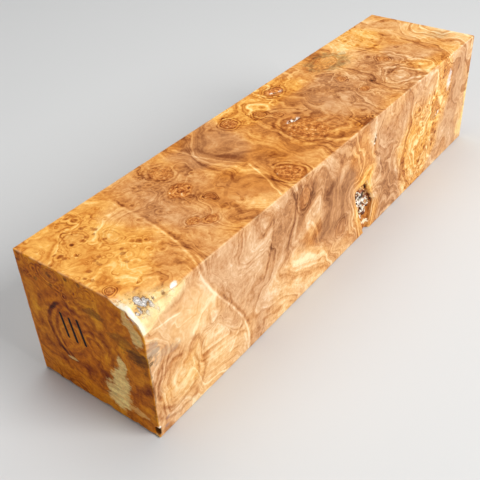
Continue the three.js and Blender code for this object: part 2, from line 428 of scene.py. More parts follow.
STAINS_AND_PAINTED_LIGHT = (
    (RUST, tuple(Patch((x, y, HEIGHT), TOP_DOT, DOT_SHARE) for x, y in TOP_DOTS)),
    (DARK_RUST, tuple(Patch((x, -LENGTH / 2, z), END_DOT, DOT_SHARE) for x, z in END_DOTS)),
    (OLIVE, (Patch((-15, 51, TOP), (7.4, 11, 6), 0.6), Patch((11, 101, TOP), (5, 4.6, 6), 0.22))),
    (AMBER, (Patch((-15.6, 49.6, TOP), (3.2, 5.8, 5), 0.25),)),
    (ASH, (Patch((RIGHT, -106, 34), (0.9, 2.6, 6), 0.7), Patch((RIGHT, -100, 30), (0.9, 5, 2.4), 0.4))),
    (
        SMOKE_AND_EDGE_SHADE,
        (
            # Painted shade along the near upright edge, on the end's side
            Patch((25.2, NEAR, 22), (1.6, 0.35, 17), 0.5),
            Patch((21.8, NEAR, 31.6), (5.8, 3, 3), 0.85),
            Patch((15.8, NEAR, 35), (4.6, 3, 2.8), 0.5),
            Patch((6, NEAR, 40), (4.4, 3, 1.7), 0.7),
        ),
    ),
    (
        CREAM_AND_GLINT,
        (
            Patch((17.4, NEAR, 6.4), (4.6, 3, 1.5), 0.4),
            Patch((13.6, NEAR, 23.8), (2, 3, 3.8), 0.8),
            Patch((12.4, NEAR, 16.6), (3.7, 3, 5.6), 0.9),
            Patch((10.4, NEAR, 9.4), (5.4, 3, 6), 0.95),
            Patch((20, NEAR, 46.6), (2.4, 3, 3.8), 0.6),
            Patch((21.4, NEAR, 43.4), (1.6, 3, 3), 0.65),
            Patch((22.2, NEAR, 40.4), (1.8, 3, 4.6), 0.7),
            # Painted golden glint on the near end
            Patch((-8.8, NEAR, 14.2), (2.4, 3, 0.6), 0.7),
            Patch((24.8, NEAR, 0.5), (1.4, 0.8, 0.6), 0.9),
            Patch((RIGHT, 107.8, 17), (0.9, 1.8, 17), 1),
            Patch((RIGHT, 104.5, 6), (0.9, 4.4, 5), 0.4),
        ),
    ),
    (
        BRUISE,
        (
            Patch((RIGHT, -105, 2.6), (0.9, 2, 0.7), 0.85),
            Patch((RIGHT, -103.6, 5.4), (0.9, 1.2, 0.8), 0.6),
        ),
    ),
    (BARK_BROWN, (Patch((23.7, -96.7, TOP), (0.8, 0.7, 4), 0.9),)),
    (
        WHITE_AND_GLINT,
        (
            # Painted highlight on the +X face
            Patch((RIGHT, 84.8, 38.4), (2, 2, 4.6), 0.7),
            Patch((25.2, -107.9, 4.8), (0.9, 0.7, 0.8), 0.95),
            Patch((24.2, -93.1, TOP), (0.8, 1.2, 4), 1),
            Patch((20.6, -106.9, TOP), (1.6, 1, 4), 0.9),
            Patch((22.8, -106.9, TOP), (1.6, 1.2, 4), 0.9),
            Patch((24.5, -107.2, TOP), (0.8, 0.9, 4), 0.9),
        ),
    ),
)

# Weathered flakes on the wane, pale in the middle and dark at the border
WEATHER_FRAY = 2.6
WEATHER_BORDER = (1.1, 0.9)
WEATHERED_PATCHES = (
    Patch((20, -103.4, TOP), (1.2, 0.8, 8)),
    Patch((21.3, -102.6, TOP), (1.3, 0.9, 8)),
    Patch((23, -101.5, TOP), (1.2, 0.7, 8)),
    Patch((24.7, -100.2, TOP), (0.9, 0.6, 8)),
    Patch((22.4, -100, TOP), (0.7, 0.35, 8)),
    Patch((25, -94, TOP), (0.5, 0.5, 8)),
    Patch((24.3, -106.2, TOP), (0.7, 0.4, 8)),
    Patch((21.2, -104.1, TOP), (1.1, 0.4, 8)),
    Patch((21.4, -105.4, TOP), (0.5, 0.7, 8)),
    Patch((23.6, -103.2, TOP), (0.8, 0.5, 8)),
    Patch((23, -104.6, TOP), (0.5, 0.5, 8)),
)

# Wood colours from dark to light, as screen values
HONEY = (
    (0, (54, 20, 4)),
    (0.25, (138, 66, 14)),
    (0.5, (207, 130, 50)),
    (0.72, (238, 176, 86)),
    (1, (254, 228, 160)),
)
TAN = (
    (0, (56, 30, 16)),
    (0.25, (130, 78, 44)),
    (0.5, (194, 138, 90)),
    (0.72, (222, 178, 134)),
    (1, (246, 224, 192)),
)
# Flecks in the eyes' cores; the lightest end of this ramp is a painted glint
EMBER_AND_GLINT = (
    (0, (88, 36, 12)),
    (0.3, (148, 76, 28)),
    (0.55, (198, 120, 54)),
    (0.8, (230, 164, 88)),
    (1, (255, 230, 186)),
)
WANE_GRAIN = (2.4, 3, 0.6)
WANE_SPECKS = (0.57, 0.64, 0, 0.6)
WANE_WOOD = ((0.25, (196, 138, 70)), (0.5, (232, 190, 120)), (0.75, (248, 226, 176)))
ROLL = (252, 228, 174)
ROLL_SHADE = (0.3, 0.6, 0.9, 0.5)
# A painted shadow line in the furrow between the pale roll and the wane
FURROW_SHADOW = (186, 134, 76)
FURROW_SHADOW_BAND = (0.3, 0.3)
FURROW_SHADOW_SHARE = 0.6
WHITE_FIBRE = (240, 226, 198)
TORN_SHADE = (0.5, 0.62, 1, 0.3)
WEATHERED_RIM = (132, 88, 48)
WEATHERED = (
    (0.1, (234, 228, 220)),
    (0.35, (146, 142, 140)),
    (0.55, (212, 204, 194)),
    (0.8, (98, 84, 72)),
    (1, (176, 136, 88)),
)
SILL_GRAIN = (1.6, 3, 0.6)
SILL_FRAY = 6  # how far the border between sill and bark wanders
SILL = ((0.25, (104, 50, 16)), (0.5, (176, 104, 42)), (0.8, (226, 164, 92)))
ROT_GRAIN = (1.5, 3, 0.6)
ROT = (
    (0.34, (46, 20, 10)),
    (0.46, (118, 54, 26)),
    (0.55, (178, 106, 54)),
    (0.66, (240, 206, 146)),
)
HOLLOW_FRAY = 0.5
HOLLOW_START = (0.2, 0.45)
CRESCENT_GRIT = (0.4, 0.55)
SILL_BAND = (250, 228, 190)
SILL_BAND_FRAY = 5
SILL_BAND_HALF = 1.3
SILL_BAND_SHADE = (0.2, 0.7)
POCKET_START = (0.4, 1.3)  # depths between which the wood gives way to the pocket's bark
# A painted highlight along the pocket's rim
POCKET_LIP_HIGHLIGHT = (0.25, 0.25)
# Pale colour of the edges and the pocket's lip: on the edges part wear and part painted highlight, on the
# lip a painted highlight
EDGE_WEAR_AND_HIGHLIGHT = (246, 214, 160)
EDGE_PATCHES = (4, 2)
EDGE_SHADE = (0.35, 0.65, 0.02, 0.35)
# Colour in the pits: white painted glints, dark painted shade and tan between
PIT_GLINT_AND_SHADE = ((0.38, (62, 32, 16)), (0.47, (176, 124, 76)), (0.55, (252, 246, 232)))
RING_TINT = (0.6, 0.42, 0.3, 1)
# Ends darker and more saturated: partly darker end grain, partly painted shade
END_GRAIN_AND_SHADE_TINT = (0.97, 0.7, 0.09, 1)
INK = (7, 6, 6)
INK_HALF_WIDTH = 0.62
INK_BORDER = (0.8, 1.05, 1, 0)
STROKES = (
    ((-9.6, NEAR, 32.4), (1.5, 0, -8.6)),
    ((-6, NEAR, 32), (1.5, 0, -8.6)),
    ((-2.4, NEAR, 33), (1.7, 0, -9)),
)

# Growth layers, and how they are bent: size of the bends and how far they reach
LEAN = (0.015, 0.085, 0.03)  # layers per millimetre along each axis
LEVEL_LEAN = (0.01, 0.03, 0.17)  # the same where they lie flat
LEVEL_START = -0.6
GROWTH = (24, 3, 0.42)
GROWTH_HEIGHT = 6.5
SLOW = (26, 13)
QUICK = (6, 1.5)
TREMOR = (1.6, 0.22)
SEAM_SWAY = 0.4  # the share of the quick bends that the seam follows

# Noises that several things share: size, detail and roughness
FRAY = (3, 3, 0.6)
GAPS = (5, 2)
GAP_LIMITS = (0.36, 0.56, 0.15, 1)
STREAK_STRETCH = (0.35, 0.35, 1.3)
STREAKS = (1.8, 3, 0.6)
GRIT = (1.3, 3, 0.65)

# Noises over the growth layers. One with no size follows the layers alone, one with no rate ignores them.
Layer = namedtuple("Layer", "size detail roughness rate shift", defaults=(0,))
LAYERS = {
    "Bands": Layer(None, 4, 0.68, 2.4),
    "Smoke": Layer(13, 3, 0.55, 1),
    "Broad": Layer(None, 1, 0.5, 1.25, 11),
    "Fibre": Layer(3.2, 3, 0.6, 8),
    "Grain": Layer(1.1, 2, 0.6, None),
}
RING_LAYER = Layer(None, 1, 0.5, 0.9, 31)
RING_LIMITS = (0.4, 0.62, 0.1, 1)
RING_RATE = 2.2
RING_LATE = (0.3, 0.9)  # the part of a ring over which it darkens
RING_STOP = (0.9, 1, 1, 0)  # and over which it ends
RING_FADE = (0.38, 0.58, 0.15, 1)
PALE_LAYER = Layer(None, 1, 0.5, 1.2, 57)
PALE_HALF_WIDTH = 0.05
PALE_FADE = (0.4, 0.54, 1, 0)
LAYER_FADE = (9, 2)  # rings and pale lines come and go

# Pin knots
BASE_PINS = 0.15
PIN_SIZE = 3.3
PIN_RISE = 0.5
PIN_GIRTH = 0.4
PIN_CROWDS = (9, 1)
PIN_CROWD_LIMITS = (0.4, 0.54)
PIN_DOT = (0.1, 0.36, 1, 0)
PIN_RING = (0.52, 0.14)
PIN_RING_SHARE = 0.4
PIN_SWELL = (0, 0.75, 1, 0)

# Bends round the pocket, and the eyes' own rings
HALO_RISE = 2.4
HALO_SHELLS = 5  # pale layers round the pocket
SHELL_FRAY = 1.4
SHELL_BAND = (0.5, 0.5)
EYE_FAR = 3
EYE_REACH = 2.4
EYE_SWELL = 1.5
EYE_BORDER = (0.7, 1.12, 1, 0)
EYE_RINGS = 2.7
EYE_RING = (0.5, 0.4)
EYE_RING_REACH = (1.05, 0.75)
EYE_FRAY = 0.4
FLECKS = (1.2, 3, 0.6)
FLECK_TURNS = 6
FLECK_LIMITS = (0.26, 0.74)

# How much each thing lightens or darkens the wood
END_FIGURE = 0.75  # the growth layers show this much on the ends
BASE_TONE = 0.57
BASE_WARMTH = 0.8
SMOKE_TONE = 0.32
BROAD_TONE = 0.46
BAND_TONE = 0.74
FIBRE_TONE = 0.46
GRAIN_TONE = 0.36
RING_TONE = -0.14
LEVEL_RINGS = 0.6  # how much stronger the rings are where the layers lie flat
PALE_LINE_TONE = 0.11
RIM_TONE = -0.2
DARK_VEIN_TONE = -0.2
PALE_VEIN_TONE = 0.22
PIN_TONE = -0.3
HALO_TONE = -0.02
SHELL_TONE = 0.16
PAST_SEAM_TONE = -0.05
PAST_SEAM_WARMTH = -0.3
PIN_WARMTH = 0.25
HALO_WARMTH = 0.4
WARMTH_DRIFT = (16, 1)
WARMTH_REACH = 0.7

# Surface of the wood
FIBRE_RELIEF = 0.4
GRAIN_RELIEF = 0.3
PIN_RELIEF = -0.5
WOOD_BUMP = (0.6, 0.25)  # strength and height
WOOD_ROUGHNESS = 0.5
CORE_ROUGHNESS = -0.12  # what an eye's core adds
GRIT_ROUGHNESS = 0.3
WOOD_SPECULAR = 0.07

# Bake map: each face's axes across and up the map, and its left, bottom, width and height there
BAKE_STRIPS = {
    "top": (1, 0, 0.004, 0.775, 0.992, 0.221),
    "right": (1, 2, 0.004, 0.55, 0.992, 0.221),
    "left": (1, 2, 0.004, 0.325, 0.992, 0.221),
    "bottom": (1, 0, 0.004, 0.225, 0.992, 0.096),
    "near": (0, 2, 0.004, 0.002, 0.221, 0.219),
    "far": (0, 2, 0.23, 0.002, 0.221, 0.219),
}

# Sockets of a Mix node that mixes colours
MIX_FIRST = 6
MIX_SECOND = 7
MIX_RESULT = 2


def linear(value):
    """One part of a screen colour as linear light."""
    share = value / SCREEN_MOST
    if share <= SCREEN_KNEE:
        return share / SCREEN_SLOPE
    return ((share + SCREEN_OFFSET) / (1 + SCREEN_OFFSET)) ** SCREEN_POWER


def screen(red, green, blue):
    """A screen colour as the linear colour that a shader takes."""
    return (linear(red), linear(green), linear(blue), 1)


def ripple(places, size, shift=0):
    """Smooth noise from -1 to 1 at each place, with features of about that size."""
    offset = Vector([shift * step for step in NOISE_STEPS])
    return np.array([noise.noise(Vector(place / size) + offset) for place in places])


def smooth_step(low, high, value):
    """0 below low, 1 above high, and a smooth rise between."""
    share = np.clip((value - low) / (high - low), 0, 1)
    return share * share * (3 - 2 * share)


# Mesh of the block


def spaced_lines(length, fine_spans):
    """Grid lines along one side of the block, closer together inside the fine spans and at the edges."""
    probe = np.linspace(0, length, GRID_PROBES)
    step = np.full_like(probe, GRID_STEP)
    for low, high in fine_spans:
        step[(probe >= low) & (probe <= high)] = GRID_FINE_STEP
    count = np.concatenate([[0], np.cumsum(np.diff(probe) / step[1:])])
    steps = int(count[-1])
    inner = np.interp(np.arange(1, steps) * count[-1] / steps, count, probe)
    edge = np.array(EDGE_LINES)
    clear = edge[-1] + GRID_FINE_STEP / 2
    inner = inner[(inner > clear) & (inner < length - clear)]
    return np.concatenate([edge, inner, length - edge[::-1]])


def box_shell(xs, ys, zs):
    """Vertices and outward quads of a box whose six sides are cut along the given lines."""
    shape = (len(xs), len(ys), len(zs))
    i, j, k = np.indices(shape)
    outer = (i == 0) | (i == shape[0] - 1) | (j == 0) | (j == shape[1] - 1) | (k == 0) | (k == shape[2] - 1)
    number = np.full(shape, -1)
    number[outer] = np.arange(outer.sum())
    places = np.stack([xs[i[outer]], ys[j[outer]], zs[k[outer]]], 1)
    sheets = {
        "top": (number[:, :, -1], False),
        "bottom": (number[:, :, 0], True),
        "right": (number[-1], False),
        "left": (number[0], True),
        "far": (number[:, -1, :], True),
        "near": (number[:, 0, :], False),
    }
    quads = {}
    for side, (sheet, flip) in sheets.items():
        corners = (sheet[:-1, :-1], sheet[1:, :-1], sheet[1:, 1:], sheet[:-1, 1:])
        quad = np.stack(corners, -1).reshape(-1, 4)
        quads[side] = quad[:, ::-1] if flip else quad
    return places, quads


def corner_distance(places, askew=1):
    """Distance from the near upright edge beside the +X face, counted askew times over along that face."""
    return np.hypot(places[:, 0] - WIDTH / 2, askew * (places[:, 1] + LENGTH / 2))


def chip_share(places):
    """1 in the chip out of the near upright edge, falling to 0 at its ragged border."""
    share = np.zeros(len(places))
    away = corner_distance(places, CHIP_ASKEW)
    near = away < CHIP_WIDTH
    corner = places[near]
    size, ragged = CHIP_RAGGED
    height = (corner[:, 2] - CHIP_HEIGHT) / CHIP_REACH + ragged * ripple(corner, size, SHIFTS["chip"])
    across = smooth_step(CHIP_WIDTH, CHIP_HEART, away[near])
    share[near] = smooth_step(*CHIP_BORDER, np.abs(height)) * across
    return share


def edge_radius(places):
    """How far the edges are rounded at each place: worn, rolled beside the wane and torn below."""
    x, y, z = places.T
    along = y + LENGTH / 2
    worn = EDGE_RADIUS + EDGE_RAGGED * ripple(places, EDGE_RAGGED_SIZE)
    beside_wane = smooth_step(*ROLL_START, along) * smooth_step(WANE_ALONG[-2], WANE_ALONG[-3], along)
    roll = ROLL_RADIUS * beside_wane * ((x > 0) & (z > WANE_FOOT))
    low_near = (along < TEAR_SIZE) & (z < TEAR_SIZE)
    tear = TEAR_RADIUS * smooth_step(*TEAR_GAPS, ripple(places, TEAR_SIZE, SHIFTS["tear"])) * low_near
    return np.maximum(EDGE_LEAST, worn + roll + tear)


def round_edges(places):
    """Pulls the sharp edges of the box in to a small ragged radius."""
    half = np.array([WIDTH / 2, LENGTH / 2, HEIGHT / 2])
    middle = np.array([0, 0, HEIGHT / 2])
    local = places - middle
    radius = edge_radius(places)[:, None]
    inner = np.clip(local, radius - half, half - radius)
    away = local - inner
    reach = np.linalg.norm(away, axis=1, keepdims=True)
    return middle + inner + away * radius / np.maximum(reach, TINY)


def wane_drop(x, y):
    """How far the wane lies below the sawn top, and which share of its greatest drop that is."""
    along = y + LENGTH / 2
    across = WIDTH / 2 - x
    share = np.interp(across / np.interp(along, WANE_ALONG, WANE_WIDTH), WANE_ACROSS, WANE_SHARE)
    return np.interp(along, WANE_ALONG, WANE_DROP) * share, share


def rim_distance(y, z):
    """Distance in from the pocket's rim: positive inside it."""
    here = np.stack([y, z], 1)
    rim = np.array(POCKET_RIM, float)
    nearest = np.full(len(here), np.inf)
    inside = np.zeros(len(here), bool)
    for start, end in zip(rim, np.roll(rim, -1, axis=0)):
        run = end - start
        share = np.clip((here - start) @ run / (run @ run), 0, 1)
        nearest = np.minimum(nearest, np.linalg.norm(here - start - share[:, None] * run, axis=1))
        crosses = (start[1] > z) != (end[1] > z)
        slope = (z - start[1]) / (end[1] - start[1] + TINY)
        inside ^= crosses & (y < start[0] + slope * run[0])
    return np.where(inside, nearest, -nearest)


def lumpy(places, lumps, shift):
    """Lumps of several sizes added together."""
    return sum(height * ripple(places, size, shift) for size, height in lumps)


def cut_wane(places, rounded):
    """Lowers the top corner to the wane.

    Returns the places and the masks of the wane, its roll and its torn fibres.
    """
    x, y, z = places.T
    near = (y < -LENGTH / 2 + WANE_ALONG[-1]) & (x > 0) & (z > WANE_FOOT)
    drop = np.zeros(len(places))
    roll = np.zeros(len(places))
    drop[near], roll[near] = wane_drop(x[near], y[near])
    on_wane = smooth_step(*WANE_START, drop)
    rough = np.zeros(len(places))
    rough[near] = lumpy(places[near], WANE_LUMPS, SHIFTS["wane"]) * on_wane[near]
    share = np.clip((rounded[:, 2] - WANE_FOOT) / (HEIGHT - WANE_FOOT), 0, 1)
    moved = rounded.copy()
    moved[:, 2] -= share * np.maximum(0, drop + rough)
    on_top = smooth_step(*WANE_SKIN, HEIGHT - z)
    below = smooth_step(WANE_FADE, 0, HEIGHT - z)
    torn = np.zeros(len(places))
    frayed = y[near] + LENGTH / 2 + ripple(places[near], TORN_SIZE, SHIFTS["torn"])
    torn[near] = smooth_step(*WANE_TORN, frayed) * on_wane[near]
    return moved, on_wane * on_top, smooth_step(*WANE_ROLL, roll) * on_wane * below, torn * on_top


def hollow_steps(y, z):
    """How far each place is along and across the pocket's hollow, from its middle."""
    step = np.stack([y, z], 1) - np.array(HOLLOW_MIDDLE)
    run = np.array(HOLLOW_RUN)
    return step @ run, step @ np.array([-run[1], run[0]])


def hollow_distance(y, z):
    """Distance from the middle of the pocket's hollow, counted in its half sizes."""
    along, across = hollow_steps(y, z)
    return np.hypot(along / HOLLOW_HALF[0], across / HOLLOW_HALF[1])


def hollow_share(y, z):
    """1 in the middle of the pocket's hollow, falling to 0 at its border."""
    return smooth_step(*HOLLOW_BORDER, hollow_distance(y, z))


def crescent_share(y, z):
    """1 in the crescent of pale rot round the lower end of the hollow."""
    along, _ = hollow_steps(y, z)
    away = hollow_distance(y, z)
    ring = smooth_step(*CRESCENT_INNER, away) * smooth_step(*CRESCENT_OUTER, away)
    return ring * smooth_step(*CRUMB_RISE, along)


def cut_pocket(places, rounded):
    """Sinks the bark pocket into the +X face.

    Returns the places, how deep each of them lies and how near it is to the rim.
    """
    x, y, z = places.T
    rim_y, rim_z = np.array(POCKET_RIM).T
    reach = HALO_REACH + POCKET_MARGIN
    near = (x > POCKET_ROOT) & (z < rim_z.max() + reach)
    near &= (y > rim_y.min() - reach) & (y < rim_y.max() + reach)
    inside = rim_distance(y[near], z[near])
    ragged = inside + lumpy(places[near], POCKET_RAGGED, SHIFTS["rim"])
    broken = SILL_ROUGHNESS + (1 - SILL_ROUGHNESS) * smooth_step(*POCKET_SILL, z[near])
    lumps = broken * lumpy(places[near], POCKET_LUMPS, SHIFTS["floor"])
    depth = np.interp(z[near], POCKET_HEIGHTS, POCKET_DEPTHS) + lumps
    depth += HOLLOW_DEPTH * hollow_share(y[near], z[near])
    sunk = np.zeros(len(places))
    sunk[near] = np.maximum(0, depth) * smooth_step(*POCKET_WALL, ragged)
    halo = np.zeros(len(places))
    halo[near] = np.clip(1 + inside / HALO_REACH, 0, 1)
    share = np.clip((rounded[:, 0] - POCKET_ROOT) / (WIDTH / 2 - POCKET_ROOT), 0, 1)
    moved = rounded.copy()
    moved[:, 0] -= share * sunk
    outside = x > WIDTH / 2 - FACE_SKIN
    return moved, sunk * outside, halo * outside


def cut_pits(places, moved):
    """Sinks the small pits; returns the places and how much each one is in a pit."""
    in_pit = np.zeros(len(places))
    for pit in PITS:
        across, along, down, level = PIT_SIDES[pit.face]
        turn = math.radians(pit.turn)
        step = places[:, [across, along]] - np.array(pit.middle)
        run = step @ np.array([math.cos(turn), math.sin(turn)]) / pit.half_long
        side = step @ np.array([-math.sin(turn), math.cos(turn)]) / pit.half_wide
        on_face = places[:, down] > level - FACE_TOUCH
        share = smooth_step(*PIT_BORDER, np.hypot(run, side)) * on_face
        moved[:, down] -= pit.depth * share
        in_pit = np.maximum(in_pit, share)
    return moved, in_pit


def edge_wear_and_highlight(places):
    """How close each place is to one of the sawn edges."""
    half = np.array([WIDTH / 2, LENGTH / 2, HEIGHT / 2])
    inset = np.sort(half - np.abs(places - np.array([0, 0, HEIGHT / 2])), axis=1)
    return smooth_step(*EDGE_WORN, inset[:, 1]) * smooth_step(*EDGE_CLEAR, corner_distance(places))


def wandering(places, size, reach, shift):
    """Places moved about by smooth noise."""
    return places + reach * np.stack([ripple(places, size, shift + axis) for axis in range(3)], 1)


def distance(places, item):
    """How far each place is from the middle of an eye, zone or stain, counted in its own radii."""
    return np.linalg.norm((places - np.array(item.place)) / np.array(item.radii), axis=1)


def face_masks(places):
    """How much each place belongs to each of the sawn faces."""
    x, y, z = places.T
    inset = {
        "top": HEIGHT - z,
        "bottom": z,
        "right": WIDTH / 2 - x,
        "left": WIDTH / 2 + x,
        "near": LENGTH / 2 + y,
    }
    return {face: smooth_step(FACE_BLEND, 0, depth) for face, depth in inset.items()}


def zone_maps(places):
    """Tone, warmth, pin knots, liveliness and lie of the layers over the block, from the zones."""
    swayed = wandering(places, *ZONE_SWAY, SHIFTS["zone"])
    moved = wandering(swayed, *ZONE_FRAY, SHIFTS["zone_fray"])
    maps = {"tone": BASE_TONE, "warmth": BASE_WARMTH, "pins": BASE_PINS, "lively": 1, "level": 0}
    for face, mask in face_masks(places).items():
        for zone in ZONES[face]:
            inside = mask * smooth_step(*ZONE_BORDER, distance(moved, zone))
            maps = {name: value + inside * getattr(zone, name) for name, value in maps.items()}
    return maps


def eye_maps(places):
    """How high the eyes lift the growth layers, and how far, strong, light and warm the nearest eye is."""
    moved = wandering(places, *SPOT_SWAY, SHIFTS["eye"])
    maps = {name: 0 for name in ("rise", "core", "rim", "eye_tone", "eye_warmth")}
    maps["eye"] = np.full(len(places), EYE_FAR)
    for eye in EYES:
        away = distance(moved, eye)
        maps["rise"] = maps["rise"] + eye.rise * np.clip(1 - away / EYE_REACH, 0, 1) ** EYE_SWELL
        nearest = away < maps["eye"]
        own = {
            "eye": away,
            "core": eye.core,
            "rim": eye.rim,
            "eye_tone": eye.tone,
            "eye_warmth": eye.warmth,
        }
        maps |= {name: np.where(nearest, value, maps[name]) for name, value in own.items()}
    return maps


def stain_and_painted_light_maps(places):
    """How far the nearest stain and weathered patch are, and the stain's strength and colour. Some stains
    are painted highlights and painted shade.
    """
    moved = wandering(places, *SPOT_SWAY, SHIFTS["stain"])
    away = np.full(len(places), STAIN_FAR)
    share = np.zeros(len(places))
    colour = np.zeros((len(places), 4))
    for own_colour, patches in STAINS_AND_PAINTED_LIGHT:
        each = np.stack([distance(moved, patch) for patch in patches])
        own = each.min(axis=0)
        own_share = np.array([patch.share for patch in patches])[each.argmin(axis=0)]
        over = (own < away) | (own < STAIN_BORDER)
        away = np.where(over, own, away)
        share = np.where(over, own_share, share)
        colour = np.where(over[:, None], screen(*own_colour), colour)
    weathered = np.min([distance(moved, patch) for patch in WEATHERED_PATCHES], axis=0)
    return {"stain": away, "stain_and_painted_light_share": share, "weathered": weathered}, colour


def bake_places(places, quads):
    """Where each corner of each quad lies on the block's unfolded map: four long strips and two ends."""
    x, y, z = places.T
    share = np.stack([x / WIDTH + 1 / 2, y / LENGTH + 1 / 2, z / HEIGHT], 1)
    maps = []
    for side, quad in quads.items():
        across, up, left, low, width, height = BAKE_STRIPS[side]
        corner = share[quad.reshape(-1)]
        maps.append(np.stack([left + width * corner[:, across], low + height * corner[:, up]], 1))
    return np.concatenate(maps)


def crumb_share(places, sunk):
    """How thick the crumbs lie: in the upper pocket, below the hollow and not in it."""
    _, y, z = places.T
    along, _ = hollow_steps(y, z)
    outside = 1 - smooth_step(*CRUMB_CLEAR, hollow_share(y, z))
    thick = smooth_step(*CRUMB_LOW, z) * smooth_step(*CRUMB_DEPTH, sunk)
    return thick * (outside * smooth_step(*CRUMB_RISE, along))


def shaped_block(places):
    """Where each place of the plain box ends up on the block, and the masks of what is there."""
    _, y, z = places.T
    moved = round_edges(places)
    masks = {"edge": edge_wear_and_highlight(places)}
    masks["end_grain"] = smooth_step(*END_SKIN, LENGTH / 2 - np.abs(y))
    moved, masks["wane"], masks["roll"], masks["torn"] = cut_wane(places, moved)
    moved, masks["sunk"], masks["halo"] = cut_pocket(places, moved)
    moved, masks["pit"] = cut_pits(places, moved)
    masks["crumbs"] = crumb_share(places, masks["sunk"])
    masks["hollow"] = hollow_share(y, z)
    masks["rot"] = crescent_share(y, z)
    masks["chip"] = chip_share(places)
    moved += CHIP_DEPTH * masks["chip"][:, None] * np.array([-1, 1, 0])
    return moved, masks


def block_mesh():
    """The whole block as one closed mesh, with its masks and its bake map."""
    xs = spaced_lines(WIDTH, FINE_ACROSS) - WIDTH / 2
    ys = spaced_lines(LENGTH, FINE_ALONG) - LENGTH / 2
    zs = spaced_lines(HEIGHT, FINE_UP)
    places, quads = box_shell(xs, ys, zs)
    moved, masks = shaped_block(places)
    stains, stain_and_painted_light_colour = stain_and_painted_light_maps(places)
    masks |= zone_maps(places) | eye_maps(places) | stains
    faces = np.concatenate(list(quads.values()))
    mesh = bpy.data.meshes.new("burl_blank_wood")
    mesh.from_pydata((moved * MM).tolist(), [], faces.tolist())
    mesh.polygons.foreach_set("use_smooth", np.ones(len(faces), bool))
    for name, values in masks.items():
        mesh.attributes.new(name, "FLOAT", "POINT").data.foreach_set("value", values.astype(np.float32))
    stain_and_painted_light_layer = mesh.attributes.new("stain_and_painted_light_colour", "FLOAT_COLOR", "POINT")
    stain_and_painted_light_layer.data.foreach_set("color", stain_and_painted_light_colour.ravel())
    bake_map = mesh.uv_layers.new(name="OFBake")
    bake_map.data.foreach_set("uv", bake_places(places, quads).astype(np.float32).ravel())
    mesh.update()
    return mesh


# Nodes


